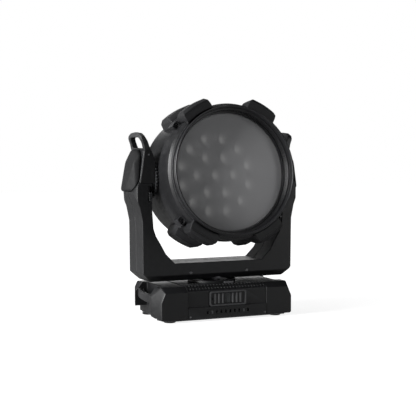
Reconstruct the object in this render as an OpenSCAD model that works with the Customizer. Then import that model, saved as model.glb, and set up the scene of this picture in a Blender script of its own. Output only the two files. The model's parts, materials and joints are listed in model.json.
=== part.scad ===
// Moving head wash light: low base, U-shaped yoke and a round LED head.
// Origin under the pan axis, on the underside of the base plate. +Z up, the head faces
// -Y and +X is to its right.

/* [Base] */
// Half width of the base, over the end blocks
base_half_w = 182; // [180:1:190]
// Half depth of the base
base_half_d = 95; // [94:1:100]
// Height of the base cover
base_top = 80; // [78:1:81]
// Height of the rubber feet, below the base plate
foot_h = 4; // [3:1:6]
// Half width of the centre section between the end blocks
centre_half_w = 102; // [98:1:104]

/* [Yoke] */
// Underside of the crossbar
yoke_low = 88; // [87:1:90]
// Top of the crossbar
bar_top = 130; // [126:1:131]
// Front face of the yoke
yoke_front = 45; // [44:1:50]
// Rear face of the yoke
yoke_rear = 45; // [44:1:50]
// Inner face of each arm
arm_in = 171; // [170:1:172]
// Top of each arm, under its handle
arm_top = 396; // [392:1:400]
// Top of the handle loops
handle_top = 438; // [434:1:442]

/* [Head] */
// Height of the tilt axis
tilt_z = 331; // [329:1:333]
// How far the head looks up at rest, in degrees
head_rest = 8; // [0:1:15]
// Front lip, ahead of the tilt axis
lip_w = 139; // [138:1:142]
// Radius of the front lip
lip_r = 152; // [150:1:153]
// Radius of the head's drum
drum_r = 157; // [155:1:157]
// Radius over the corner bumpers
bumper_r = 181; // [178:1:183]
// Clock angle of the bumpers, either side of vertical
bumper_clock = 30.5; // [30:0.5:32]

/* [Lamps] */
// Radius of the inner ring of six lamps
lamp_ring_in = 48; // [46:1:50]
// Radius of the outer ring of twelve lamps
lamp_ring_out = 89; // [88:1:90]
// Radius of one lens
lens_r = 21; // [19:1:21]

/* [Hidden] */
$fn = 64;

wall = 3;
fit_gap = 0.05;
black = "#1c1d1f";
soft_black = "#26272a";
grey = "#4a4c50";
steel = "#9a9ca0";

// ---- helpers ----

// Unit vector along v
function unit(v) = v / norm(v);

// A closed anticlockwise outline moved inwards by d, with mitred corners
function inset(p, d) = [
    for (i = [0 : len(p) - 1])
        let (
            n = len(p),
            u = unit(p[i] - p[(i + n - 1) % n]),
            v = unit(p[(i + 1) % n] - p[i]),
            a = [-u[1], u[0]],
            b = [-v[1], v[0]]
        )
        p[i] + d * (a + b) / (1 + a * b)
];

// A right-hand half outline closed by its own mirror image
function mirrored(p) = concat(p, [for (i = [len(p) - 1 : -1 : 0]) [-p[i][0], p[i][1]]]);

// An outline drawn in X and Z, solid between two Y planes
module front_prism(y0, y1) {
    translate([0, y1, 0]) rotate([90, 0, 0]) linear_extrude(y1 - y0) children();
}

// An outline drawn in Y and Z, solid between two X planes
module side_prism(x0, x1) {
    translate([x0, 0, 0]) rotate([90, 0, 90]) linear_extrude(x1 - x0) children();
}

// A box from its two opposite corners
module block(low, high) {
    translate(low) cube(high - low);
}

// A round bar along X, Y or Z
module bar_x(r, x0, x1, y, z) {
    translate([x0, y, z]) rotate([0, 90, 0]) cylinder(r = r, h = x1 - x0);
}

module bar_y(r, y0, y1, x, z) {
    translate([x, y1, z]) rotate([90, 0, 0]) cylinder(r = r, h = y1 - y0);
}

module bar_z(r, z0, z1, x, y) {
    translate([x, y, z0]) cylinder(r = r, h = z1 - z0);
}

// A ring about local Z from w0 to w1
module ring(r0, r1, w0, w1) {
    rotate_extrude($fn = 128) polygon([[r0, w0], [r1, w0], [r1, w1], [r0, w1]]);
}

// A rectangle with rounded corners, centred
module round_rect(w, h, r) {
    square([w - 2 * r, h], center = true);
    square([w, h - 2 * r], center = true);
    for (x = [-1, 1], y = [-1, 1])
        translate([x * (w / 2 - r), y * (h / 2 - r)]) circle(r = r, $fn = 24);
}

// The same thing on the left and on the right
module side(s) {
    if (s < 0) mirror([1, 0, 0]) children();
    else children();
}

// The head's own axes: local Z looks out of the lens and local Y is up
module on_head() {
    translate([0, 0, tilt_z]) rotate([90 - head_rest, 0, 0]) children();
}

// ---- base ----

plate_t = 3;
base_low = plate_t;
display_x = 0;
display_z = 48.5;
display_w = 95;
display_h = 35;
button_w = 4.6;
button_h = 23;
button_x = [-33, -23, -13, 13, 23, 33];
glass_half = 7.5;
slot_pitch = 11.7;
slot_z = 17.5;
slot_half = [2.1, 3.6];
lip_z = 31;
front_step = 3;
slope_z = 68;
slope_run = 18;
lock_x = 14;
lock_y = -65;
end_outline = [
    [centre_half_w, base_low], [166, base_low], [177, 10], [base_half_w, 22], [base_half_w, 57],
    [163, base_top - 1], [centre_half_w, base_top - 1],
];
end_plan = [
    [0, -base_half_d], [169, -base_half_d], [base_half_w, -60], [base_half_w, 44],
    [163, base_half_d], [0, base_half_d],
];
end_profile = [
    [-base_half_d, 0], [base_half_d, 0], [base_half_d, 68], [base_half_d - 6, 76],
    [50, 82], [-50, 82], [-base_half_d + slope_run, base_top - 1], [-base_half_d, slope_z - 1],
];
shoulder_low = [169, -base_half_d, 45];
shoulder_high = [158, -base_half_d, 70];
shoulder_back = [base_half_w, -57, 57];
grip_r = 140;
grip_x = 177;
grip_z = 52;
grip_h = 20;
grip_rise = 5;
grip_turn = 24;
well_x = 150;
well_front = -46;
well_back = 44;
undercut_z = 22;
hub_r = 48;
omega_x = 230;
omega_y = 106;
omega_r = 4.05;
cable_hole_r = 6.5;
cable_hole_y = 78;

// Everything outside the sloping shoulder at a block's front corner, moved inwards by d
module shoulder_cut(d) {
    out = unit(cross(shoulder_back - shoulder_low, shoulder_high - shoulder_low));
    translate(shoulder_low) rotate([0, acos(out[2]), atan2(out[1], out[0])])
        translate([-200, -200, -d]) cube(400);
}

// The end block's bare form, moved inwards by d
module end_solid(d) {
    difference() {
        intersection() {
            front_prism(-base_half_d, base_half_d) polygon(inset(end_outline, d));
            linear_extrude(100) polygon(inset(end_plan, d));
            side_prism(0, 200) polygon(inset(end_profile, d));
        }
        shoulder_cut(d);
        mirror([0, 1, 0]) shoulder_cut(d);
    }
}

// The open hand well and the space under the block's rear corner, grown by d
module end_well(d) {
    block([well_x - d, well_front - d, -1], [200, well_back + d, 100]);
    block([well_x - d, well_back - 1, -1], [200, 100, undercut_z + d]);
}

module base_end(s) {
    color(soft_black) side(s) difference() {
        end_solid(0);
        end_well(0);
        difference() {
            union() {
                end_solid(wall);
                intersection() {
                    translate([0, 0, -2 * wall]) end_solid(wall);
                    block(
                        [centre_half_w + wall, -base_half_d + wall, base_low - 1],
                        [170, base_half_d - wall, 30]
                    );
                }
            }
            end_well(wall);
        }
    }
}

// A bowed carrying bar across each hand well, rising to the rear and held at both ends
module base_handles() {
    color(grey) for (s = [-1, 1]) side(s) intersection() {
        translate([grip_x - grip_r, 0, grip_z]) rotate([grip_rise, 0, 0])
            rotate([0, 0, -grip_turn])
                rotate_extrude(angle = 2 * grip_turn, $fn = 180)
                    translate([grip_r, 0]) round_rect(9, grip_h, 3.5);
        block([well_x, well_front, 0], [200, well_back, 100]);
    }
}

module base_plate() {
    color(steel) difference() {
        linear_extrude(plate_t) polygon([
            [-154, -88], [154, -88], [163, -56], [163, -49.5], [147, -49.5],
            [147, 88], [-147, 88], [-147, -49.5], [-163, -49.5], [-163, -56],
        ]);
        for (x = [-1, 1], y = [-1, 1])
            bar_z(omega_r, -1, plate_t + 1, x * omega_x / 2, y * omega_y / 2);
        bar_z(cable_hole_r, -1, plate_t + 1, 0, cable_hole_y);
    }
}

module rubber_feet() {
    color("#151515") for (x = [-1, 1], y = [-1, 1])
        translate([x * 138, y * 68, -foot_h]) rotate_extrude()
            polygon([[0, 0], [13, 0], [15, 2], [15, foot_h], [0, foot_h]]);
}

// Vent holes in the cover's sloping front edge and roof, clear of the pan hub and the lock slider
module vent_holes() {
    vent_pitch = 8;
    vent_r = 2.6;
    for (i = [-12 : 12], j = [0 : 5])
        if (abs(i * vent_pitch) > 60 || j < 2)
            bar_z(vent_r, base_top - 16, base_top + 5, i * vent_pitch, -86 + j * vent_pitch);
    for (i = [-12 : 12], j = [0 : 3])
        if (abs(i * vent_pitch) > 60)
            bar_z(vent_r, base_top - 16, base_top + 5, i * vent_pitch, 40 + j * vent_pitch);
}

module base_cover() {
    inner = centre_half_w - wall;
    front = -base_half_d;
    step = front + front_step;
    color(black) difference() {
        union() {
            side_prism(-centre_half_w, centre_half_w) polygon([
                [front, base_low], [base_half_d, base_low], [base_half_d, 70],
                [base_half_d - 6, base_top], [front + slope_run, base_top],
                [step, slope_z], [step, lip_z], [front, lip_z - 1],
            ]);
            bar_z(58, base_top - 1, base_top + 5, 0, 0);
        }
        side_prism(-inner, inner) polygon([
            [front + wall, 0], [base_half_d - wall, 0], [base_half_d - wall, 68],
            [base_half_d - 8, base_top - wall], [front + slope_run + 2, base_top - wall],
            [step + wall, slope_z - 1.5], [step + wall, lip_z + wall], [front + wall, lip_z - 3],
        ]);
        bar_z(50, base_top - 10, base_top + 10, 0, 0);
        block(
            [display_x - display_w / 2, front - 10, display_z - display_h / 2],
            [display_x + display_w / 2, front + 10, display_z + display_h / 2]
        );
        for (i = [-4.5 : 4.5])
            translate([display_x + i * slot_pitch, front, slot_z])
                cube([2 * slot_half[0], 20, 2 * slot_half[1]], center = true);
        block([-80, base_half_d - 10, 18], [80, base_half_d + 10, 62]);
        block([lock_x - 7, lock_y - 5, base_top - 10], [lock_x + 7, lock_y + 14, base_top + 10]);
        vent_holes();
    }
}

module display_bezel() {
    front = -base_half_d;
    color(grey) translate([display_x, 0, display_z]) difference() {
        front_prism(front - 0.6, front + 8) round_rect(display_w, display_h, 5);
        front_prism(front - 1, front + 2) round_rect(display_w - 7, display_h - 7, 3);
        for (x = button_x) translate([x, 0, 0])
            front_prism(front - 5, front + 9)
                square([button_w + 0.8, button_h + 0.8], center = true);
        front_prism(front - 5, front + 9) square([2 * glass_half, button_h], center = true);
        bar_y(2, front - 5, front + 9, -41, 0);
    }
}

module display_glass() {
    color("#5a6068") translate([display_x, 0, display_z])
        front_prism(-base_half_d + 2.5, -base_half_d + 8)
            square([2 * glass_half, button_h], center = true);
}

module status_windows() {
    color("#8d9094") for (i = [-3.5, 3.5])
        translate([display_x + i * slot_pitch, -base_half_d + 2.7, slot_z])
            cube([2 * slot_half[0], 4.6, 2 * slot_half[1]], center = true);
}

module menu_button(n) {
    front = -base_half_d;
    color("#141416") translate([display_x + button_x[n - 1], 0, display_z]) {
        front_prism(front + 0.6, front + 9) square([button_w, button_h], center = true);
        front_prism(front + 9, front + 11) square([button_w + 3, button_h + 3], center = true);
    }
}

module control_board() {
    board_y = -base_half_d + 15;
    color("#1f6b3a") {
        block([-44, board_y - 1.6, 30], [44, board_y, 64]);
        block([-30, board_y, 36], [-8, board_y + 5, 56]);
        block([4, board_y, 34], [34, board_y + 10, 46]);
    }
}

panel_y = base_half_d;
socket_z = 40;
power_x = [-62, -34];
data_x = [-4, 24];
network_x = [48, 68];

module connector_panel() {
    color(grey) difference() {
        block([-80, panel_y - 2, 18], [80, panel_y, 62]);
        for (x = power_x) bar_y(12, panel_y - 10, panel_y + 10, x, socket_z);
        for (x = data_x) bar_y(11.5, panel_y - 10, panel_y + 10, x, socket_z);
        for (x = network_x) block([x - 7, panel_y - 10, 32], [x + 7, panel_y + 10, 48]);
    }
}

module power_sockets() {
    color("#22252b") for (x = power_x) difference() {
        union() {
            bar_y(12, panel_y - 27, panel_y, x, socket_z);
            bar_y(13.5, panel_y, panel_y + 2, x, socket_z);
        }
        bar_y(9, panel_y - 19, panel_y + 10, x, socket_z);
    }
}

module data_sockets() {
    color("#2b2d31") {
        for (x = data_x) difference() {
            union() {
                bar_y(11.5, panel_y - 25, panel_y, x, socket_z);
                bar_y(13, panel_y, panel_y + 2, x, socket_z);
            }
            bar_y(8.5, panel_y - 17, panel_y + 10, x, socket_z);
        }
        for (x = network_x) difference() {
            block([x - 7, panel_y - 21, 32], [x + 7, panel_y + 1, 48]);
            block([x - 5.5, panel_y - 13, 34], [x + 5.5, panel_y + 10, 44]);
        }
    }
}

module power_supply() {
    color(steel) {
        block([-86, -34, base_low], [86, 56, 50]);
        block([-70, 56, 14], [-20, 62, 30]);
    }
}

// Hollow shaft that the yoke turns on, with its flange under the base roof
// and the fixed belt wheel above
module pan_shaft() {
    color(steel) rotate_extrude($fn = 128) polygon([
        [16, 62], [54, 62], [54, base_top - wall], [hub_r - 1, base_top - wall],
        [hub_r - 1, base_top + 3], [shaft_r, base_top + 3], [shaft_r, 102],
        [pan_wheel_r, 102], [pan_wheel_r, 112], [16, 112],
    ]);
}

module base_screws() {
    color("#0e0e0f") {
        for (x = [-97, 97]) bar_y(2.5, -base_half_d - 0.5, -base_half_d, x, 9);
        for (x = [-97, 97]) bar_y(2.5, base_half_d, base_half_d + 0.5, x, 9);
        for (x = [-76, 76], z = [22, 58]) bar_y(2, panel_y, panel_y + 1, x, z);
    }
}

module pan_lock_slider() {
    color(steel) {
        block([lock_x - 5, lock_y - 4, base_top - wall + 0.3], [lock_x + 5, lock_y + 8, base_top + 2.5]);
        block([lock_x - 12, lock_y - 5, base_top + 0.3], [lock_x + 12, lock_y + 1, base_top + 4.5]);
    }
}

// ---- yoke ----

yoke_half = [
    [174, yoke_low], [195, 108], [196, 229], [203, 263], [216, 296], [214, 306], [200, 326],
    [190, arm_top], [arm_in, arm_top], [arm_in, 250], [168, 214], [162, 196], [151, 178],
    [137, 153], [123, 139], [114, bar_top],
];
yoke_outline = mirrored(yoke_half);
yoke_plan = mirrored([[208, -yoke_front], [226, -6], [226, 6], [208, yoke_rear]]);
panel_low = 320;
panel_in = 164.5;
panel_t = 5;
bearing_r = 26;
axle_r = 18;
shaft_r = 21;
upright_x = arm_in + wall + 0.3;
upright_t = 4;
pan_motor_x = 149;
tilt_motor_z = 136;
belt_x = 185.5;

// The yoke's outer form between two Y planes, with its front and lower edges cut back
module yoke_solid(y0, y1, d) {
    intersection() {
        front_prism(y0, y1) polygon(inset(yoke_outline, d));
        linear_extrude(500) polygon(inset(yoke_plan, d));
        side_prism(-230, 230) polygon(inset([
            [-yoke_front + 10, yoke_low], [yoke_rear - 10, yoke_low],
            [yoke_rear, yoke_low + 14], [yoke_rear, 410], [-yoke_front + panel_t, 410],
            [-yoke_front + panel_t, panel_low], [-yoke_front, panel_low],
            [-yoke_front, yoke_low + 14],
        ], d));
    }
}

// Holes through the covers for the pan shaft and for the tilt axles
module yoke_holes() {
    bar_z(bearing_r + 12, yoke_low - 1, yoke_low + 3 * wall, 0, 0);
    for (s = [-1, 1]) side(s) bar_x(bearing_r + 1, arm_in - 1, arm_in + wall + 1, 0, tilt_z);
}

// Notch in the left arm's front, at its inner edge
module lock_window() {
    block([-arm_in - 9, -yoke_front - 1, 277], [-arm_in + 1, -yoke_front + wall + 1, 312]);
}

module yoke_front_cover() {
    color(black) difference() {
        yoke_solid(-yoke_front, 0, 0);
        yoke_solid(-yoke_front, 1, wall);
        yoke_holes();
        lock_window();
    }
}

module yoke_rear_cover() {
    color(black) difference() {
        yoke_solid(0, yoke_rear, 0);
        yoke_solid(-1, yoke_rear, wall);
        yoke_holes();
    }
}

module yoke_frame() {
    floor_z = yoke_low + wall + 0.3;
    color(steel) difference() {
        union() {
            block([-166, -32.5, floor_z], [166, 32.5, floor_z + 5]);
            for (s = [-1, 1]) side(s) {
                block([upright_x, -35, 112], [upright_x + upright_t, 35, 390]);
                front_prism(-32.5, 32.5) polygon([
                    [160, floor_z], [172, floor_z], [upright_x + upright_t, 112],
                    [upright_x, 112], [166, floor_z + 5], [160, floor_z + 5],
                ]);
            }
            for (y = [-1, 1])
                block([128, y * 27 - 1.5, floor_z + 5], [168, y * 27 + 1.5, 115]);
            block([128, -28.5, 115], [168, 28.5, 117]);
        }
        bar_z(bearing_r + 10, 80, 100, 0, 0);
        bar_z(12, 114, 118, pan_motor_x, 0);
        for (s = [-1, 1]) side(s) bar_x(bearing_r, 170, 184, 0, tilt_z);
        side(-1) bar_x(12, 170, 184, 0, tilt_motor_z);
    }
}

module arm_panel(s) {
    color(black) side(s) front_prism(-yoke_front, -yoke_front + panel_t)
        polygon([
            [panel_in, panel_low], [201, panel_low], [200, 326], [196, 352], [190, arm_top],
            [174, arm_top], [168, 384], [panel_in, 372],
        ]);
}

// Handle loop over the top of an arm, open for a hand
module handle(s) {
    y0 = -yoke_front;
    y1 = yoke_rear;
    t = 12;
    color(soft_black) side(s) intersection() {
        side_prism(arm_in, 200) difference() {
            polygon([
                [y0, arm_top], [y1, arm_top], [y1, 420], [y1 - 5, 430], [y1 - 20, 436],
                [0, handle_top], [y0 + 20, 436], [y0 + 5, 430], [y0, 420],
            ]);
            polygon([
                [y0 + t, arm_top + 5], [y1 - t, arm_top + 5], [y1 - t, 416], [y1 - t - 4, 422],
                [y1 - t - 12, 425.5], [0, handle_top - t], [y0 + t + 12, 425.5],
                [y0 + t + 4, 422], [y0 + t, 416],
            ]);
        }
        front_prism(-80, 80) polygon([
            [174, arm_top], [190, arm_top], [193, 410], [198, 424], [198, 450], [190, 450],
            [188, 430], [182, 417],
        ]);
    }
}

// Smooth shield-shaped cap on the outside of an arm, above and round its shoulder
module side_pad(s) {
    color(grey) side(s) difference() {
        hull() {
            side_prism(190, 198) polygon([
                [-16, 398], [16, 398], [31, 384], [41, 326], [41, 297], [-41, 297], [-41, 326],
                [-31, 384],
            ]);
            for (y = [-37, 37]) translate([208, y, 305]) sphere(r = 5, $fn = 32);
            for (y = [-10, 10]) translate([223, y, 305]) sphere(r = 6, $fn = 32);
            for (y = [-24, 24]) translate([208, y, 366]) sphere(r = 5, $fn = 32);
            for (y = [-9, 9]) translate([199, y, 392]) sphere(r = 6, $fn = 32);
        }
        front_prism(-80, 80) polygon([
            [150, 229], [196, 229], [203, 263], [216.1, 296.1], [214.1, 306.1], [200.1, 326.1],
            [190.1, arm_top], [190.1, 420], [150, 420],
        ]);
        block([150, -80, 280], [240, 80, 299]);
    }
}

module pan_bearing() {
    color(steel) ring(shaft_r + fit_gap, bearing_r + 10, yoke_low + 0.5, yoke_low + 11);
}

module tilt_bearings() {
    color(steel) for (s = [-1, 1]) side(s) translate([arm_in + 0.5, 0, tilt_z])
        rotate([0, 90, 0]) ring(axle_r + fit_gap, bearing_r, 0, 9);
}

module pan_motor() {
    color("#303236") block([pan_motor_x - 17, -17, 117], [pan_motor_x + 17, 17, 139]);
}

module tilt_motor() {
    color("#303236") side(-1)
        block([148, -22, tilt_motor_z - 22], [upright_x, 22, tilt_motor_z + 21]);
}

// A closed loop round two wheels of radii a and b, centres d apart along X, e outside them
function belt_loop(a, b, d, e) =
    let (turn = 90 - asin((a - b) / d), n = 40)
    concat(
        [for (i = [0 : n]) (a + e) * [
            cos(turn + i * (360 - 2 * turn) / n), sin(turn + i * (360 - 2 * turn) / n),
        ]],
        [for (i = [0 : n]) [d, 0] + (b + e) * [
            cos(-turn + i * 2 * turn / n), sin(-turn + i * 2 * turn / n),
        ]]
    );

module belt_outline(a, b, d) {
    difference() {
        polygon(belt_loop(a, b, d, belt_play + belt_t));
        polygon(belt_loop(a, b, d, belt_play));
    }
}

belt_play = 0.15;
belt_t = 1.6;
motor_wheel_r = 10;
pan_wheel_r = 38;
tilt_wheel_r = 34;

module pan_belt() {
    color("#0c0c0c") translate([0, 0, 103]) linear_extrude(8)
        belt_outline(pan_wheel_r, motor_wheel_r, pan_motor_x);
}

module tilt_belt() {
    color("#0c0c0c") side(-1) translate([belt_x - 3.5, 0, tilt_z]) rotate([0, 90, 0])
        linear_extrude(7)
        belt_outline(tilt_wheel_r, motor_wheel_r, tilt_z - tilt_motor_z);
}

module pan_motor_pulley() {
    color(steel) translate([pan_motor_x, 0, 0]) rotate_extrude() polygon([
        [0, 102], [motor_wheel_r, 102], [motor_wheel_r, 112], [4, 112], [4, 116.8], [0, 116.8],
    ]);
}

module tilt_motor_pulley() {
    color(steel) side(-1) translate([0, 0, tilt_motor_z]) rotate([0, 90, 0])
        rotate_extrude() polygon([
            [0, 174.5], [4, 174.5], [4, belt_x - 4.5], [motor_wheel_r, belt_x - 4.5],
            [motor_wheel_r, belt_x + 4.5], [0, belt_x + 4.5],
        ]);
}

module yoke_screws() {
    color("#0e0e0f") {
        for (x = [-74, 74]) bar_y(3.2, -yoke_front - 0.8, -yoke_front, x, 106);
        for (x = [-180, 180]) bar_y(2.6, -yoke_front - 0.6, -yoke_front, x, 386);
        for (x = [-74, 74]) bar_y(3.2, yoke_rear, yoke_rear + 0.8, x, 106);
        for (x = [-183, 183], z = [180, 290])
            bar_y(3.2, yoke_rear, yoke_rear + 0.8, x, z);
    }
}

// Toothed catch in the left arm's front notch that locks the tilt
module tilt_lock_slider() {
    color("#3a3c40") {
        block([-arm_in - 8, -yoke_front + 0.5, 278], [-arm_in - 0.5, -yoke_front + 3.6, 299]);
        for (i = [0 : 3])
            block(
                [-arm_in - 7.5, -yoke_front - 1, 280 + i * 5],
                [-arm_in - 1, -yoke_front + 0.5, 282.2 + i * 5]
            );
    }
}

// ---- head ----

glass_w = lip_w - 35;
seam_w = 62;
rear_w = -60;
back_w = -98;
bumper_span = 34;
bumper_front_w = 127;
bumper_trim = [
    [140, -38], [162, -37.5], [171, -36], [185, -27], [185, 27], [171, 36], [162, 37.5], [140, 38],
];
bumper_angles = [for (up = [90, 270], s = [-1, 1]) up + s * bumper_clock];
boss_clock = 48.5;
boss_angles = [for (up = [90, 270], s = [-1, 1]) up + s * boss_clock];
boss_r = 166.5;
flange_r = 40;
axle_bore_r = 11;

module front_hood() {
    back = glass_w - 4;
    color(black) on_head() rotate_extrude($fn = 180) polygon([
        [134, back], [148, back], [148, back + 12], [147, back + 12], [147, lip_w - 13],
        [149, lip_w - 11], [150, lip_w - 9], [lip_r, lip_w - 8], [lip_r, lip_w - 1.5],
        [lip_r - 1.5, lip_w], [148, lip_w], [147.5, lip_w - 1], [146.5, lip_w - 15],
        [143.5, lip_w - 15], [143, lip_w - 31], [139, lip_w - 31], [139, glass_w - 2],
        [134, glass_w - 2],
    ]);
}

module diffuser() {
    color("#6e7073") on_head() ring(0, 139, glass_w - 2, glass_w);
}

module front_housing() {
    back = glass_w - 4;
    color(black) on_head() difference() {
        union() {
            rotate_extrude($fn = 180) polygon([
                [148, back], [148, back + 12], [150, back + 12], [150, 117], [152.5, 119],
                [154, 119], [160, 113], [160, 86], [161, 84], [161, seam_w + 2],
                [159, seam_w], [150, seam_w], [150, back - 4], [144, back - 4], [144, back],
            ]);
            for (a = boss_angles) rotate([0, 0, a])
                block([drum_r - 3, -9.5, 66], [173, 9.5, 94]);
        }
        for (a = boss_angles) rotate([0, 0, a]) translate([boss_r, 0, 85]) {
            cylinder(r = 6, h = 20);
            translate([0, 0, -30]) cylinder(r = 2.6, h = 40);
        }
    }
}

module rear_housing() {
    color(black) on_head() difference() {
        rotate_extrude($fn = 180) polygon([
            [151, seam_w], [drum_r - 2, seam_w], [drum_r, seam_w - 2], [drum_r, rear_w + 10],
            [146, rear_w], [140, rear_w], [140, rear_w + 4], [151, rear_w + 12],
        ]);
        for (s = [-1, 1]) side(s) bar_x(flange_r, 130, 175, 0, 0);
    }
}

// Four curved blocks round the drum, trimmed to the same outline seen from the front
module bumper_set(profile) {
    on_head() for (a = bumper_angles) rotate([0, 0, a]) intersection() {
        rotate([0, 0, -bumper_span / 2])
            rotate_extrude(angle = bumper_span, $fn = 180) polygon(profile);
        translate([0, 0, -50]) linear_extrude(200) polygon(bumper_trim);
    }
}

module front_bumpers() {
    color(soft_black) bumper_set([
        [161, seam_w + 1], [169, seam_w + 1], [169, 80], [175, 84], [bumper_r - 2, 88],
        [bumper_r, 92], [bumper_r, 120], [175, bumper_front_w], [154.5, bumper_front_w],
        [154.5, 120], [161, 114],
    ]);
}

module rear_bumpers() {
    color(soft_black) bumper_set([
        [drum_r, -16], [174, -16], [bumper_r, -8], [bumper_r, 36], [175, 44], [169, 48],
        [169, seam_w - 1], [drum_r, seam_w - 1],
    ]);
}

module rear_cover() {
    color(black) on_head() difference() {
        rotate_extrude($fn = 128) polygon([
            [0, back_w], [126, back_w], [134, back_w + 6], [146, rear_w - 8], [146, rear_w],
            [140, rear_w], [130, back_w + 10], [124, back_w + 3], [0, back_w + 3],
        ]);
        for (i = [-6 : 6])
            let (x = i * 9, half = sqrt(60 * 60 - x * x))
                block([x - 2.5, -half, back_w - 1], [x + 2.5, half, back_w + 4]);
    }
}

module heat_sink() {
    color(steel) on_head() {
        ring(0, 134, 4, 12);
        for (i = [-10 : 10])
            let (x = i * 12, half = sqrt(132 * 132 - x * x))
                block([x - 1, -half, -44], [x + 1, half, 4]);
    }
}

// Places of the nineteen lamps: one in the middle, a ring of six and a ring of twelve
lens_spots = concat(
    [[0, 0]],
    [for (a = [0 : 60 : 300]) lamp_ring_in * [cos(a), sin(a)]],
    [for (a = [15 : 30 : 345]) lamp_ring_out * [cos(a), sin(a)]]
);

module led_board() {
    color("#d8d8d2") on_head() union() {
        ring(0, 128, 12, 14);
        for (p = lens_spots)
            translate([p[0], p[1], 15.5]) cube([9, 9, 3], center = true);
    }
}

carriage_w = 46;
zoom_r = 4;
zoom_place = [0, 118];

module lens_carriage() {
    color("#2c2e31") on_head() difference() {
        translate([0, 0, carriage_w]) cylinder(r = 130, h = 4, $fn = 128);
        for (p = lens_spots) translate([p[0], p[1], 0]) cylinder(r = lens_r, h = 80);
        translate([zoom_place[0], zoom_place[1], 0]) cylinder(r = zoom_r + fit_gap, h = 80);
    }
}

module lenses() {
    color("#c9d2d8") on_head() for (p = lens_spots) translate([p[0], p[1], 0])
        rotate_extrude() polygon([
            [0, carriage_w - 22], [9, carriage_w - 22], [lens_r, carriage_w - 2],
            [lens_r, carriage_w + 5], [15, carriage_w + 8], [0, carriage_w + 9.5],
        ]);
}

module zoom_screw() {
    color(steel) on_head() translate([zoom_place[0], zoom_place[1], 0])
        rotate_extrude() polygon([[0, 14.3], [zoom_r, 14.3], [zoom_r, 96], [3, 97], [0, 97]]);
}

fan_w = -80;

module fan_frame() {
    color("#1b1b1c") on_head() {
        difference() {
            translate([0, 0, fan_w]) linear_extrude(25) round_rect(100, 100, 6);
            translate([0, 0, fan_w - 1]) cylinder(r = 47, h = 30);
        }
        ring(0, 15, fan_w, fan_w + 2);
        for (a = [45 : 90 : 315]) rotate([0, 0, a])
            block([14, -1.5, fan_w], [48, 1.5, fan_w + 2]);
    }
}

module fan_rotor() {
    color("#101011") on_head() {
        ring(0, 17, fan_w + 3, fan_w + 22);
        for (a = [0 : 6]) rotate([0, 0, a * 360 / 7]) translate([16, 0, fan_w + 12.5])
            rotate([38, 0, 0]) translate([0, -11, -0.9]) cube([28.5, 22, 1.8]);
    }
}

module trunnions() {
    color(steel) for (s = [-1, 1]) side(s) translate([0, 0, tilt_z]) rotate([0, 90, 0])
        rotate_extrude($fn = 96) polygon([
            [axle_bore_r, 146], [flange_r, 146], [flange_r, 165], [flange_r - 3, 168],
            [axle_r + 4, 168], [axle_r, 170], [axle_r, 193], [axle_bore_r, 193],
        ]);
}

// Toothed disc beside the left arm, which the tilt lock catches
module tilt_lock_disc() {
    teeth = 40;
    color("#2a2b2e") side(-1) translate([159.5, 0, tilt_z]) rotate([0, 90, 0]) difference() {
        linear_extrude(4) polygon([
            for (i = [0 : teeth - 1], k = [0 : 3])
                let (a = (i + [0, 0.25, 0.5, 0.75][k]) * 360 / teeth, r = k < 2 ? 52 : 47.5)
                    r * [cos(a), sin(a)]
        ]);
        translate([0, 0, -1]) cylinder(r = flange_r, h = 6);
    }
}

module tilt_pulley() {
    color(steel) side(-1) translate([belt_x - 4, 0, tilt_z]) rotate([0, 90, 0])
        ring(axle_r, tilt_wheel_r, 0, 8);
}

module head_screws() {
    color("#0e0e0f") on_head() for (a = boss_angles) rotate([0, 0, a])
        translate([boss_r, 0, 0]) difference() {
            union() {
                translate([0, 0, 85]) cylinder(r = 5, h = 5);
                translate([0, 0, 70]) cylinder(r = 2.6, h = 15);
            }
            translate([0, 0, 87]) cylinder(r = 2.6, h = 4, $fn = 6);
        }
}

base_plate();
base_cover();
base_end(-1);  // base_end_left
base_end(1);  // base_end_right
base_handles();
rubber_feet();
display_bezel();
display_glass();
status_windows();
connector_panel();
power_sockets();
data_sockets();
power_supply();
control_board();
pan_shaft();
base_screws();
menu_button(1);  // menu_button_1
menu_button(2);  // menu_button_2
menu_button(3);  // menu_button_3
menu_button(4);  // menu_button_4
menu_button(5);  // menu_button_5
menu_button(6);  // menu_button_6
pan_lock_slider();
yoke_frame();
yoke_front_cover();
yoke_rear_cover();
arm_panel(-1);  // arm_panel_left
arm_panel(1);  // arm_panel_right
side_pad(-1);  // side_pad_left
side_pad(1);  // side_pad_right
handle(-1);  // handle_left
handle(1);  // handle_right
pan_bearing();
tilt_bearings();
pan_motor();
tilt_motor();
pan_belt();
tilt_belt();
yoke_screws();
pan_motor_pulley();
tilt_motor_pulley();
tilt_lock_slider();
front_hood();
diffuser();
front_housing();
rear_housing();
front_bumpers();
rear_bumpers();
rear_cover();
heat_sink();
led_board();
fan_frame();
trunnions();
tilt_lock_disc();
tilt_pulley();
head_screws();
fan_rotor();
lens_carriage();
lenses();
zoom_screw();
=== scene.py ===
import json
import math

import bmesh
import bpy
from mathutils import Matrix, Vector


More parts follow.
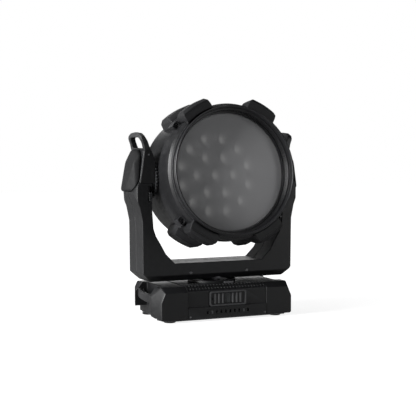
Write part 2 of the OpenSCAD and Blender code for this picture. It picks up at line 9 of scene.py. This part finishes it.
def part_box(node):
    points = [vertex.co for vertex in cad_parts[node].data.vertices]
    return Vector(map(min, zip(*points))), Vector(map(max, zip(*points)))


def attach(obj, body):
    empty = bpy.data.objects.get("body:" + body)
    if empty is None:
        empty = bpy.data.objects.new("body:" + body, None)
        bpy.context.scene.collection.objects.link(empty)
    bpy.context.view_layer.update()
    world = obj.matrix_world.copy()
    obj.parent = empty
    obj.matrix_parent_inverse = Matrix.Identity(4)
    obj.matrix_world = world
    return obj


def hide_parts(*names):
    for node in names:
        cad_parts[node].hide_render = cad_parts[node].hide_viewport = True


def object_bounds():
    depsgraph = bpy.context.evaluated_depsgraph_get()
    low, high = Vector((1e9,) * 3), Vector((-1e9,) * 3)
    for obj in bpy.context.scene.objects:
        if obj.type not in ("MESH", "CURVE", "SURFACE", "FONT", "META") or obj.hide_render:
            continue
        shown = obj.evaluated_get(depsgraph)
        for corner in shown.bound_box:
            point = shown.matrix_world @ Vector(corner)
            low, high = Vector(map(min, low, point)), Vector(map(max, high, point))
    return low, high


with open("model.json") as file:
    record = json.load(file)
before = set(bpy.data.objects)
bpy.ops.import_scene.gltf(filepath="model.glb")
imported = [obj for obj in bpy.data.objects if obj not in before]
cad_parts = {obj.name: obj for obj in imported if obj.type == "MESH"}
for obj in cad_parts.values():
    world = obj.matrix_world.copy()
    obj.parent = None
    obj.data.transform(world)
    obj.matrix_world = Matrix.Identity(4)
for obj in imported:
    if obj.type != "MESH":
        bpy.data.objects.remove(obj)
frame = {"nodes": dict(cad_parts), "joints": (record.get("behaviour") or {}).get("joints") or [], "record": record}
cad_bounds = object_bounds()

MM = 0.001

# The view: lens and sensor in millimetres, turn and dip in degrees, place in metres
LENS = 95.2
SENSOR = 36.0
TURN = 24.6
DIP = 3.6
CAMERA_PLACE = (-1.1144, -2.4144, 0.4226)

# Softboxes: name, place, what it faces, width and height, watts
MIDDLE = (0, 0, 0.25)
SOFTBOXES = [
    ("top_softbox", (-0.2, 0.6, 2.2), (0, 0.0, 0.1), (2.0, 1.6), 6),
    ("key_softbox", (-2.20, -0.34, 0.90), MIDDLE, (0.7, 1.5), 82),
    ("rear_softbox", (-1.4, 1.9, 0.8), MIDDLE, (0.9, 1.6), 6),
    ("right_softbox", (1.16, -1.50, 0.55), (0, 0, 0.30), (0.30, 1.4), 4.2),
    ("back_softbox", (1.0, 2.6, 0.7), MIDDLE, (1.8, 1.0), 8),
]
ROOM_TINT = (0.90, 0.95, 1.0, 1)
ROOM_STRENGTH = 0.035

# The paper floor: its reach and tone, and how its own brightness rises away from the object
FLOOR_REACH = 6.0
FLOOR_TONE = (0.42, 0.42, 0.42, 1)
FLOOR_NEAR = 0.3
FLOOR_FAR = 0.9
FLOOR_GLOW_NEAR = 0.86
FLOOR_GLOW_FAR = 1.0

# How wide each node's edges are rounded, in millimetres
EDGES = {
    "base_cover": 0.6, "base_end_left": 2.0, "base_end_right": 2.0, "base_handles": 0.8,
    "yoke_front_cover": 2.0, "yoke_rear_cover": 2.0, "arm_panel_left": 0.9, "arm_panel_right": 0.9,
    "handle_left": 1.6, "handle_right": 1.6, "display_bezel": 0.4, "rear_cover": 1.0,
    "front_bumpers": 1.4, "rear_bumpers": 1.4, "front_housing": 0.8, "rear_housing": 0.8,
    "connector_panel": 0.4, "tilt_lock_disc": 0.3, "tilt_lock_slider": 0.3, "pan_lock_slider": 0.5,
    "menu_button_1": 0.8, "menu_button_2": 0.8, "menu_button_3": 0.8,
    "menu_button_4": 0.8, "menu_button_5": 0.8, "menu_button_6": 0.8, "rubber_feet": 0.8,
}
# Nodes whose flats have openings, so their faces aren't merged
PIERCED = (
    "base_cover", "base_end_left", "base_end_right", "base_handles", "display_bezel", "rear_cover",
)
EDGE_ANGLE = 28.0
FLAT_ANGLE = 0.4
SAME_POINT = 2e-6

# The side pads' skin: cell size and how often it is eased
PAD_CELL = 0.0016
PAD_PASSES = 40

JOINTS = {joint["name"]: joint for joint in frame["joints"]}
BODY_OF = {
    node: body
    for body, nodes in frame["record"]["behaviour"]["bodies"].items()
    for node in nodes
}
SLOT_OF = {part["node"]: part["material_slot"] for part in frame["record"]["subparts"]}

# The head's own axes: X right, Y up and Z out of the lens, from the tilt axis
TILT = Vector(JOINTS["tilt"]["pos_m"])
LOOK = Vector(JOINTS["zoom_slide"]["axis"]).normalized()
RIGHT = Vector((1, 0, 0))
HEAD = Matrix.Translation(TILT) @ Matrix(
    (RIGHT, LOOK.cross(RIGHT), LOOK)
).transposed().to_4x4()


# ---- camera, light and floor ----

def make_camera():
    data = bpy.data.cameras.new("camera")
    data.lens = LENS
    data.sensor_width = SENSOR
    camera = bpy.data.objects.new("camera", data)
    bpy.context.scene.collection.objects.link(camera)
    turn = math.radians(TURN)
    dip = math.radians(DIP)
    forward = Vector((
        math.sin(turn) * math.cos(dip), math.cos(turn) * math.cos(dip), -math.sin(dip),
    ))
    camera.location = CAMERA_PLACE
    camera.rotation_euler = forward.to_track_quat("-Z", "Y").to_euler()
    bpy.context.scene.camera = camera
    bpy.context.scene.view_settings.view_transform = "Standard"


def area_light(name, place, target, size, power):
    data = bpy.data.lights.new(name, "AREA")
    data.shape = "RECTANGLE"
    data.size, data.size_y = size
    data.energy = power
    light = bpy.data.objects.new(name, data)
    bpy.context.scene.collection.objects.link(light)
    light.location = place
    aim = Vector(target) - Vector(place)
    light.rotation_euler = aim.to_track_quat("-Z", "Y").to_euler()
    light.visible_camera = False


def make_lights():
    for box in SOFTBOXES:
        area_light(*box)


def make_world():
    """White to the camera, and a faint cool room to everything else."""
    world = bpy.data.worlds.new("studio")
    bpy.context.scene.world = world
    world.use_nodes = True
    tree = world.node_tree
    tree.nodes.clear()
    out = tree.nodes.new("ShaderNodeOutputWorld")
    mix = tree.nodes.new("ShaderNodeMixShader")
    path = tree.nodes.new("ShaderNodeLightPath")
    seen = tree.nodes.new("ShaderNodeBackground")
    room = tree.nodes.new("ShaderNodeBackground")
    seen.inputs["Color"].default_value = (1, 1, 1, 1)
    seen.inputs["Strength"].default_value = 1.0
    room.inputs["Color"].default_value = ROOM_TINT
    room.inputs["Strength"].default_value = ROOM_STRENGTH
    tree.links.new(path.outputs["Is Camera Ray"], mix.inputs[0])
    tree.links.new(room.outputs[0], mix.inputs[1])
    tree.links.new(seen.outputs[0], mix.inputs[2])
    tree.links.new(mix.outputs[0], out.inputs[0])


def make_floor():
    """A paper floor with a white glow to the camera, so that it runs into the white background."""
    mesh = bpy.data.meshes.new("floor")
    ground = cad_bounds[0].z
    corners = [
        (x * FLOOR_REACH, y * FLOOR_REACH, ground) for x, y in ((-1, -1), (1, -1), (1, 1), (-1, 1))
    ]
    mesh.from_pydata(corners, [], [(0, 1, 2, 3)])
    floor = bpy.data.objects.new("floor", mesh)
    bpy.context.scene.collection.objects.link(floor)
    material = bpy.data.materials.new("floor_paper")
    material.use_nodes = True
    tree = material.node_tree
    shader = tree.nodes["Principled BSDF"]
    shader.inputs["Base Color"].default_value = FLOOR_TONE
    shader.inputs["Roughness"].default_value = 0.9
    shader.inputs["Specular IOR Level"].default_value = 0.1
    shader.inputs["Emission Color"].default_value = (1, 1, 1, 1)
    path = tree.nodes.new("ShaderNodeLightPath")
    place = tree.nodes.new("ShaderNodeTexCoord")
    away = tree.nodes.new("ShaderNodeVectorMath")
    away.operation = "LENGTH"
    tree.links.new(place.outputs["Object"], away.inputs[0])
    rise = tree.nodes.new("ShaderNodeMapRange")
    rise.inputs["From Min"].default_value = FLOOR_NEAR
    rise.inputs["From Max"].default_value = FLOOR_FAR
    rise.inputs["To Min"].default_value = FLOOR_GLOW_NEAR
    rise.inputs["To Max"].default_value = FLOOR_GLOW_FAR
    tree.links.new(away.outputs["Value"], rise.inputs["Value"])
    glow = tree.nodes.new("ShaderNodeMath")
    glow.operation = "MULTIPLY"
    tree.links.new(path.outputs["Is Camera Ray"], glow.inputs[0])
    tree.links.new(rise.outputs["Result"], glow.inputs[1])
    tree.links.new(glow.outputs[0], shader.inputs["Emission Strength"])
    mesh.materials.append(material)


# ---- materials ----

class Shader:
    """A material's node tree, with short calls for the nodes used here."""

    def __init__(self, name):
        self.material = bpy.data.materials.new(name)
        self.material.use_nodes = True
        self.tree = self.material.node_tree
        self.main = self.tree.nodes["Principled BSDF"]
        self.place = self.add("ShaderNodeTexCoord").outputs["Object"]

    def add(self, kind, **values):
        node = self.tree.nodes.new(kind)
        for key, value in values.items():
            setattr(node, key, value)
        return node

    def join(self, source, target):
        self.tree.links.new(source, target)

    def noise(self, scale, detail=3.0, roughness=0.5, place=None):
        node = self.add("ShaderNodeTexNoise")
        node.inputs["Scale"].default_value = scale
        node.inputs["Detail"].default_value = detail
        node.inputs["Roughness"].default_value = roughness
        self.join(place or self.place, node.inputs["Vector"])
        return node.outputs["Fac"]

    def spread(self, source, low, high, out_low, out_high):
        node = self.add("ShaderNodeMapRange")
        for key, value in zip(
            ("From Min", "From Max", "To Min", "To Max"), (low, high, out_low, out_high)
        ):
            node.inputs[key].default_value = value
        self.join(source, node.inputs["Value"])
        return node.outputs["Result"]

    def mix(self, factor, first, second):
        node = self.add("ShaderNodeMix", data_type="RGBA")
        self.join(factor, node.inputs["Factor"])
        for value, socket in ((first, node.inputs["A"]), (second, node.inputs["B"])):
            if isinstance(value, tuple):
                socket.default_value = (*value, 1.0)
            else:
                self.join(value, socket)
        return node.outputs["Result"]

    def bump(self, height, strength, distance, below=None):
        node = self.add("ShaderNodeBump")
        node.inputs["Strength"].default_value = strength
        node.inputs["Distance"].default_value = distance
        self.join(height, node.inputs["Height"])
        if below is not None:
            self.join(below, node.inputs["Normal"])
        return node.outputs["Normal"]

    def edges(self):
        """How far a point lies on a convex edge, from 0 to 1."""
        pointed = self.add("ShaderNodeNewGeometry").outputs["Pointiness"]
        return self.spread(pointed, 0.52, 0.60, 0, 1)


def moulded(name, colour, rough=0.5, grain=1600.0, depth=0.00012, wear_and_highlight_gain=1.5, level=0.5, wear_and_highlight_share=0.35):
    """Moulded plastic: fine leathery grain, cloudy gloss, handling marks, and lighter convex edges that are partly
    handling wear and partly a painted edge highlight.
    """
    s = Shader(name)
    cloud = s.noise(14.0, 4.0)
    marks = s.noise(90.0, 5.0, 0.65)
    # Lighter convex edges: partly handling wear, partly a painted highlight along each edge.
    wear_and_highlight_colour = tuple(min(1.0, c * wear_and_highlight_gain + 0.010) for c in colour)
    darker = tuple(c * 0.86 for c in colour)
    paler = tuple(c * 1.14 for c in colour)
    shade = s.mix(s.spread(cloud, 0.3, 0.7, 0, 1), darker, paler)
    wear_and_highlight = s.add("ShaderNodeMath", operation="MULTIPLY")
    s.join(s.edges(), wear_and_highlight.inputs[0])
    s.join(s.spread(marks, 0.35, 0.65, 0.15, wear_and_highlight_share), wear_and_highlight.inputs[1])
    s.join(s.mix(wear_and_highlight.outputs[0], shade, wear_and_highlight_colour), s.main.inputs["Base Color"])
    s.join(s.spread(marks, 0.3, 0.7, rough - 0.07, rough + 0.07), s.main.inputs["Roughness"])
    s.main.inputs["Specular IOR Level"].default_value = level
    fine = s.noise(grain, 2.0, 0.6)
    s.join(s.bump(fine, 0.35, depth), s.main.inputs["Normal"])
    return s.material


def bezel(name, face, rim):
    """The display's frame: dark inside, with a paler printed rim on its raised edge."""
    s = Shader(name)
    apart = s.add("ShaderNodeSeparateXYZ")
    s.join(s.place, apart.inputs[0])
    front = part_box("display_bezel")[0].y
    raised = s.spread(apart.outputs["Y"], front + 0.0016, front + 0.0008, 0, 1)
    scuffs = s.spread(s.noise(150.0, 4.0), 0.3, 0.7, 0, 1)
    dark = s.mix(scuffs, face, tuple(c * 1.4 for c in face))
    pale = s.mix(scuffs, rim, tuple(c * 0.8 for c in rim))
    s.join(s.mix(raised, dark, pale), s.main.inputs["Base Color"])
    s.join(s.spread(s.noise(60.0), 0.3, 0.7, 0.38, 0.5), s.main.inputs["Roughness"])
    s.join(s.bump(s.noise(2400.0, 2.0), 0.2, 0.0001), s.main.inputs["Normal"])
    return s.material


def metal(name, colour, rough=0.35, brush=(6.0, 6.0, 500.0)):
    """Bare metal with fine tool lines and cloudy roughness."""
    s = Shader(name)
    stretch = s.add("ShaderNodeMapping")
    stretch.inputs["Scale"].default_value = brush
    s.join(s.place, stretch.inputs["Vector"])
    lines = s.noise(1.0, 4.0, 0.6, stretch.outputs["Vector"])
    cloud = s.noise(25.0, 3.0)
    s.join(
        s.mix(s.spread(lines, 0.3, 0.7, 0, 1), tuple(c * 0.8 for c in colour), colour),
        s.main.inputs["Base Color"],
    )
    s.main.inputs["Metallic"].default_value = 1.0
    s.join(s.spread(cloud, 0.3, 0.7, rough - 0.08, rough + 0.1), s.main.inputs["Roughness"])
    s.join(s.bump(lines, 0.15, 0.0001), s.main.inputs["Normal"])
    return s.material


def rubber(name, colour, rough=0.75):
    """Rubber: matte, slightly dusty, with a coarse moulded surface."""
    s = Shader(name)
    dust = s.noise(60.0, 5.0, 0.7)
    s.join(
        s.mix(s.spread(dust, 0.45, 0.75, 0, 1), colour, tuple(c + 0.02 for c in colour)),
        s.main.inputs["Base Color"],
    )
    s.join(s.spread(dust, 0.3, 0.7, rough - 0.1, rough + 0.1), s.main.inputs["Roughness"])
    s.join(s.bump(s.noise(2200.0), 0.4, 0.0001), s.main.inputs["Normal"])
    return s.material


def glossy(name, colour, rough=0.15):
    """A hard glossy surface with faint smears."""
    s = Shader(name)
    smear = s.noise(40.0, 4.0, 0.7)
    s.join(
        s.mix(s.spread(smear, 0.3, 0.7, 0, 1), tuple(c * 0.9 for c in colour), colour),
        s.main.inputs["Base Color"],
    )
    s.join(s.spread(smear, 0.3, 0.7, rough * 0.7, rough * 1.5), s.main.inputs["Roughness"])
    s.join(s.bump(s.noise(700.0), 0.05, 0.0001), s.main.inputs["Normal"])
    return s.material


def frosted(name):
    """The front diffuser: a frosted sheet that lets a little of what is behind it through."""
    s = Shader(name)
    cloud = s.noise(9.0, 3.0)
    s.join(
        s.mix(s.spread(cloud, 0.3, 0.7, 0, 1), (0.47, 0.47, 0.48), (0.52, 0.52, 0.53)),
        s.main.inputs["Base Color"],
    )
    s.join(s.spread(s.noise(120.0, 4.0), 0.3, 0.7, 0.46, 0.56), s.main.inputs["Roughness"])
    s.main.inputs["Specular IOR Level"].default_value = 0.4
    s.main.inputs["Alpha"].default_value = 0.82
    s.join(s.bump(s.noise(1800.0, 2.0), 0.25, 0.0001), s.main.inputs["Normal"])
    return s.material


def glint_painted_board(name):
    """The lamps' board: a dark solder mask with a painted glow round each lamp, standing in for the reflection
    glints of the lenses.
    """
    s = Shader(name)
    glow = s.add("ShaderNodeAttribute", attribute_name="lens_glint_glow").outputs["Fac"]
    s.join(
        s.mix(s.spread(s.noise(60.0, 4.0), 0.3, 0.7, 0, 1), (0.05, 0.05, 0.05), (0.07, 0.07, 0.07)),
        s.main.inputs["Base Color"],
    )
    s.join(s.spread(s.noise(90.0, 3.0), 0.3, 0.7, 0.45, 0.6), s.main.inputs["Roughness"])
    s.main.inputs["Emission Color"].default_value = (1.0, 0.99, 0.96, 1)
    # Painted glint: emission round each lamp that stands in for reflections in the lenses behind the diffuser.
    s.join(s.spread(glow, 0.0, 1.0, 0.0, 0.46), s.main.inputs["Emission Strength"])
    return s.material


def clear(name):
    """Clear acrylic, almost unseen but for its gloss."""
    s = Shader(name)
    s.main.inputs["Base Color"].default_value = (0.5, 0.52, 0.54, 1)
    s.join(s.spread(s.noise(70.0, 3.0), 0.3, 0.7, 0.05, 0.12), s.main.inputs["Roughness"])
    s.join(s.bump(s.noise(300.0, 2.0), 0.05, 0.0001), s.main.inputs["Normal"])
    s.main.inputs["Alpha"].default_value = 0.10
    return s.material


def make_materials():
    return {
        # The high edge gains on the covers, handles, head and bumpers paint a highlight along their edges on top
        # of the wear.
        "cover_black": moulded("cover_black", (0.0085, 0.0087, 0.0096), 0.42, wear_and_highlight_gain=5.0, wear_and_highlight_share=0.8),
        "base_black": moulded("base_black", (0.0090, 0.0092, 0.0101), 0.42, wear_and_highlight_gain=2.5),
        "handle_black": moulded("handle_black", (0.0160, 0.0162, 0.0175), 0.36, wear_and_highlight_gain=5.0, wear_and_highlight_share=0.8),
        "pad_grey": moulded("pad_grey", (0.0110, 0.0112, 0.0120), 0.60, grain=1200.0, level=0.22),
        "head_black": moulded(
            "head_black", (0.0150, 0.0152, 0.0165), 0.36, grain=2200.0, wear_and_highlight_gain=6.0, wear_and_highlight_share=0.9
        ),
        "bumper_black": moulded(
            "bumper_black", (0.0120, 0.0122, 0.0133), 0.48, grain=1100.0, level=0.38, wear_and_highlight_gain=5.0, wear_and_highlight_share=0.8
        ),
        "foot_rubber": rubber("foot_rubber", (0.010, 0.010, 0.010)),
        "bezel_grey": bezel("bezel_grey", (0.009, 0.009, 0.010), (0.085, 0.086, 0.090)),
        "display_window": glossy("display_window", (0.085, 0.090, 0.092), 0.45),
        "status_window": glossy("status_window", (0.12, 0.125, 0.13), 0.25),
        "panel_metal": moulded("panel_metal", (0.018, 0.018, 0.020), 0.45, grain=2600.0),
        "socket_black": moulded("socket_black", (0.012, 0.012, 0.014), 0.35),
        "board_green": glossy("board_green", (0.015, 0.080, 0.040), 0.35),
        "case_steel": metal("case_steel", (0.22, 0.22, 0.23), 0.42),
        "bare_steel": metal("bare_steel", (0.16, 0.16, 0.17), 0.42),
        "screw_black": metal("screw_black", (0.22, 0.22, 0.23), 0.34, (60.0, 60.0, 60.0)),
        "button_rubber": rubber("button_rubber", (0.105, 0.106, 0.110), 0.55),
        "lock_black": moulded("lock_black", (0.035, 0.036, 0.038), 0.40),
        "motor_black": moulded("motor_black", (0.020, 0.020, 0.022), 0.40),
        "belt_rubber": rubber("belt_rubber", (0.010, 0.010, 0.010)),
        "frosted_sheet": frosted("frosted_sheet"),
        "sink_aluminium": metal("sink_aluminium", (0.50, 0.51, 0.53), 0.45),
        "led_white": glint_painted_board("led_white"),
        "panel_black": moulded("panel_black", (0.0075, 0.0077, 0.0085), 0.55),
        "fan_black": moulded("fan_black", (0.013, 0.013, 0.014), 0.45),
        "carriage_black": moulded("carriage_black", (0.022, 0.022, 0.024), 0.45),
        "lens_clear": clear("lens_clear"),
    }


# ---- making pieces ----

def link(name, mesh):
    piece = bpy.data.objects.new(name, mesh)
    bpy.context.scene.collection.objects.link(piece)
    return piece


def dress(piece, node):
    """Puts a piece on the body, slot and material of a CAD node."""
    slot = SLOT_OF[node]
    piece.data.materials.clear()
    piece.data.materials.append(MATERIALS[slot])
    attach(piece, BODY_OF[node])
    return piece


def shown_as(node, mesh):
    """A new piece of the node's material, shown in the node's place."""
    piece = dress(link(node + "_shell", mesh), node)
    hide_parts(node)
    return piece


def round_edges(piece, width, segments=3):
    bevel = piece.modifiers.new("edges", "BEVEL")
    bevel.width = width
    bevel.segments = segments
    bevel.limit_method = "ANGLE"
    bevel.angle_limit = math.radians(EDGE_ANGLE)
    bevel.miter_outer = "MITER_ARC"
    bevel.use_clamp_overlap = False
    normals = piece.modifiers.new("normals", "WEIGHTED_NORMAL")
    normals.keep_sharp = True


def plain_copy(node, merged=True):
    """A copy of a CAD node's mesh, welded and smooth, with its flats merged where that is asked for."""
    mesh = frame["nodes"][node].data.copy()
    mesh.name = node + "_shell"
    shape = bmesh.new()
    shape.from_mesh(mesh)
    bmesh.ops.remove_doubles(shape, verts=shape.verts, dist=SAME_POINT)
    if merged:
        bmesh.ops.dissolve_limit(
            shape, angle_limit=math.radians(FLAT_ANGLE), verts=shape.verts, edges=shape.edges
        )
    for face in shape.faces:
        face.smooth = True
    shape.to_mesh(mesh)
    shape.free()
    if mesh.has_custom_normals:
        mesh.normals_split_custom_set([(0, 0, 0)] * len(mesh.loops))
    return mesh


def softened(node, width):
    """The node with its edges rounded."""
    piece = shown_as(node, plain_copy(node, merged=node not in PIERCED))
    round_edges(piece, width)


def rounded(node):
    """The node with its whole form eased into one flowing skin."""
    source = link("source", plain_copy(node))
    remesh = source.modifiers.new("remesh", "REMESH")
    remesh.mode = "VOXEL"
    remesh.voxel_size = PAD_CELL
    ease = source.modifiers.new("ease", "SMOOTH")
    ease.factor = 0.5
    ease.iterations = PAD_PASSES
    ready = source.evaluated_get(bpy.context.evaluated_depsgraph_get())
    mesh = bpy.data.meshes.new_from_object(ready)
    bpy.data.objects.remove(source)
    mesh.name = node + "_shell"
    mesh.polygons.foreach_set("use_smooth", [True] * len(mesh.polygons))
    shown_as(node, mesh)


def islands(node):
    """The boxes of a node's separate solids, as lowest and highest corners."""
    shape = bmesh.new()
    shape.from_mesh(frame["nodes"][node].data)
    bmesh.ops.remove_doubles(shape, verts=shape.verts, dist=SAME_POINT)
    left = set(shape.verts)
    boxes = []
    while left:
        found = [left.pop()]
        for vert in found:
            for edge in vert.link_edges:
                other = edge.other_vert(vert)
                if other in left:
                    left.remove(other)
                    found.append(other)
        low = Vector([min(vert.co[i] for vert in found) for i in range(3)])
        high = Vector([max(vert.co[i] for vert in found) for i in range(3)])
        boxes.append((low, high))
    shape.free()
    return sorted(boxes, key=lambda box: tuple(box[0]))


def ring_of(shape, radius, height, count):
    """A circle of points round Z."""
    angles = [2 * math.pi * i / count for i in range(count)]
    return [shape.verts.new((radius * math.cos(a), radius * math.sin(a), height)) for a in angles]


def skin(shape, rings, closed=False):
    """Faces between rings of points, one after another, each ring closed on itself."""
    pairs = list(zip(rings, rings[1:] + rings[:1])) if closed else list(zip(rings, rings[1:]))
    for first, second in pairs:
        for i in range(len(first)):
            j = (i + 1) % len(first)
            shape.faces.new((first[i], first[j], second[j], second[i]))


def hexagon_reach(angle, half_width):
    """How far a hexagon's side lies from its middle in a direction."""
    from_side = (angle + math.pi / 6) % (math.pi / 3) - math.pi / 6
    return half_width / max(math.cos(from_side), 0.5)


def screw_shape(shape, matrix, radius, height, depth=0.0):
    """A socket screw's head, its top at the matrix's origin plus height, with a hexagon recess."""
    sides = 24
    hexagon = 0.55 * radius
    rings = [
        ring_of(shape, radius, -depth, sides),
        ring_of(shape, radius, height * 0.72, sides),
        ring_of(shape, radius * 0.96, height * 0.90, sides),
        ring_of(shape, radius * 0.88, height, sides),
        ring_of(shape, radius * 0.66, height, sides),
    ]
    angles = [2 * math.pi * i / sides for i in range(sides)]
    for level in (height * 0.97, height * 0.25):
        rings.append([
            shape.verts.new((
                hexagon_reach(a, hexagon) * math.cos(a), hexagon_reach(a, hexagon) * math.sin(a), level,
            ))
            for a in angles
        ])
    skin(shape, rings)
    shape.faces.new(rings[-1])
    shape.faces.new(list(reversed(rings[0])))
    made = [vert for ring in rings for vert in ring]
    bmesh.ops.transform(shape, matrix=matrix, verts=made)


def finish_mesh(shape, name, smooth=True):
    bmesh.ops.recalc_face_normals(shape, faces=shape.faces)
    for face in shape.faces:
        face.smooth = smooth
    mesh = bpy.data.meshes.new(name)
    shape.to_mesh(mesh)
    shape.free()
    return mesh


def facing(direction, place):
    """A matrix that takes Z to the direction and the origin to the place."""
    turn = Vector(direction).to_track_quat("Z", "X").to_matrix().to_4x4()
    return Matrix.Translation(place) @ turn


def front_screws(node):
    """Flat covers' screws, each in the place and size of the CAD node's solid."""
    shape = bmesh.new()
    for low, high in islands(node):
        middle = (low + high) / 2
        outward = Vector((0, -1 if middle.y < 0 else 1, 0))
        thickness = high.y - low.y
        back = middle - outward * thickness / 2
        screw_shape(shape, facing(outward, back), (high.x - low.x) / 2, thickness)
    shown_as(node, finish_mesh(shape, node))


def lathe(node, profile):
    """A ring turned about the head's axis from points (radius, distance), in millimetres."""
    steps = 256
    edge = 0.6 * MM
    shape = bmesh.new()
    rings = [ring_of(shape, r * MM, w * MM, steps) for r, w in profile]
    skin(shape, rings, closed=True)
    bmesh.ops.transform(shape, matrix=HEAD, verts=shape.verts)
    piece = shown_as(node, finish_mesh(shape, node))
    round_edges(piece, edge, segments=2)


def head_range(node):
    """A node's nearest and farthest distance along the lens axis, and its radius."""
    points = [HEAD.inverted() @ vert.co for vert in frame["nodes"][node].data.vertices]
    return (
        min(p.z for p in points), max(p.z for p in points),
        max(math.hypot(p.x, p.y) for p in points),
    )


def ringed_disc(node, rings, steps, level_of, lens_glint_of=None):
    """A disc on the head's axis, its front made of many rings. One that glows is closed behind."""
    near, _, radius = head_range(node)
    shape = bmesh.new()
    layer = shape.verts.layers.float.new("lens_glint_glow")
    loops = [
        ring_of(shape, radius * k / rings, level_of(k / rings), steps) for k in range(1, rings + 1)
    ]
    middle = shape.verts.new((0, 0, level_of(0.0)))
    skin(shape, loops)
    for i in range(steps):
        shape.faces.new((middle, loops[0][i], loops[0][(i + 1) % steps]))
    if lens_glint_of:
        for vert in shape.verts:
            vert[layer] = lens_glint_of(vert.co.x, vert.co.y)
    back = ring_of(shape, radius, near, steps)
    skin(shape, [loops[-1], back])
    if lens_glint_of:
        shape.faces.new(back)
    bmesh.ops.transform(shape, matrix=HEAD, verts=shape.verts)
    shown_as(node, finish_mesh(shape, node))


def make_diffuser():
    """The frosted sheet, slightly domed."""
    far = head_range("diffuser")[1]
    dome = 1.2 * MM
    ringed_disc("diffuser", rings=40, steps=180, level_of=lambda share: far - dome * share ** 2)


def make_led_board():
    """The board behind the lenses, with a painted glow round its nineteen lamps that stands in for the lenses'
    reflection glints.
    """
    far = head_range("led_board")[1]
    lamps = [HEAD.inverted() @ ((low + high) / 2) for low, high in islands("lenses")]
    core = 8.5 * MM
    halo = 18 * MM
    core_share = 0.7

    # Painted glint round each lamp: a bright core and a soft halo.
    def glow(x, y):
        away = min(math.hypot(x - p.x, y - p.y) for p in lamps)
        glint_middle = core_share * math.exp(-(away / core) ** 2)
        return glint_middle + (1 - core_share) * math.exp(-(away / halo) ** 2)

    ringed_disc("led_board", rings=90, steps=200, level_of=lambda share: far, lens_glint_of=glow)


def make_boss_screws():
    """Socket screws in the housing's four bosses."""
    far = head_range("head_screws")[1]
    radius = 5 * MM
    height = 5 * MM
    shape = bmesh.new()
    for low, high in islands("head_screws"):
        place = HEAD.inverted() @ ((low + high) / 2)
        matrix = HEAD @ Matrix.Translation((place.x, place.y, far - height))
        screw_shape(shape, matrix, radius, height, depth=2 * MM)
    shown_as("head_screws", finish_mesh(shape, "head_screws"))


def make_hood():
    """The ring round the diffuser: a stepped, ribbed inner wall, a rolled front lip and a trim ring."""
    near, far, radius = head_range("front_hood")
    back = near / MM
    lip = far / MM
    outer = radius / MM
    glass = head_range("diffuser")[1] / MM
    seat = [(134, back), (134, glass - 2), (139, glass - 2), (139, glass + 3.5), (143.0, glass + 4.0)]
    rib_count = 5
    rib_pitch = 3.2
    ribs = []
    for k in range(rib_count):
        start = glass + 6 + rib_pitch * k
        ribs += [(143.0, start), (142.2, start + 0.7), (142.2, start + 1.5), (143.0, start + 2.2)]
    mouth = [(143.4, lip - 13.5), (146.6, lip - 13.0), (147.0, lip - 4.0), (147.6, lip - 1.2)]
    rolled_lip = [
        (148.6, lip), (outer - 1.6, lip), (outer, lip - 1.6), (outer, lip - 7.4),
        (outer - 2.0, lip - 8.6),
    ]
    groove = [(149, lip - 11), (147.5, lip - 14.5)]
    trim_ring = [
        (148.5, lip - 16.6), (151.2, lip - 17.6), (153.5, lip - 19.6), (151.8, lip - 20.0),
        (149.7, lip - 21.8),
    ]
    outside = [(149.7, back + 12), (148, back + 11), (148, back)]
    lathe("front_hood", [*seat, *ribs, *mouth, *rolled_lip, *groove, *trim_ring, *outside])


def make_display():
    """The display: a glass plate with two rows of blank raised cells."""
    low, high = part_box("display_glass")
    columns, rows = 7, 2
    margin = 0.7 * MM
    gap = 0.4 * MM
    plate_front = low.y + 1.0 * MM
    cell_front = low.y + 0.2 * MM
    cell_back = low.y + 1.2 * MM
    width = (high.x - low.x - 2 * margin) / columns
    height = (high.z - low.z - 2 * margin) / rows
    shape = bmesh.new()

    def plate(x0, x1, y0, y1, z0, z1):
        made = bmesh.ops.create_cube(shape, size=1.0)["verts"]
        scale = Matrix.Diagonal((x1 - x0, y1 - y0, z1 - z0, 1.0))
        shift = Matrix.Translation(((x0 + x1) / 2, (y0 + y1) / 2, (z0 + z1) / 2))
        bmesh.ops.transform(shape, matrix=shift @ scale, verts=made)

    plate(low.x, high.x, plate_front, high.y, low.z, high.z)
    for i in range(columns):
        for j in range(rows):
            x = low.x + margin + i * width
            z = low.z + margin + j * height
            plate(x + gap, x + width - gap, cell_front, cell_back, z + gap, z + height - gap)
    piece = shown_as("display_glass", finish_mesh(shape, "display_glass", smooth=False))
    round_edges(piece, 0.25 * MM, segments=2)


make_camera()
make_lights()
make_world()
make_floor()
MATERIALS = make_materials()

for node, width in EDGES.items():
    softened(node, width * MM)
for node in ("side_pad_left", "side_pad_right"):
    rounded(node)
front_screws("yoke_screws")
front_screws("base_screws")
make_hood()
make_diffuser()
make_led_board()
make_boss_screws()
make_display()

for node, cad in frame["nodes"].items():
    cad.data.materials.clear()
    cad.data.materials.append(MATERIALS[SLOT_OF[node]])
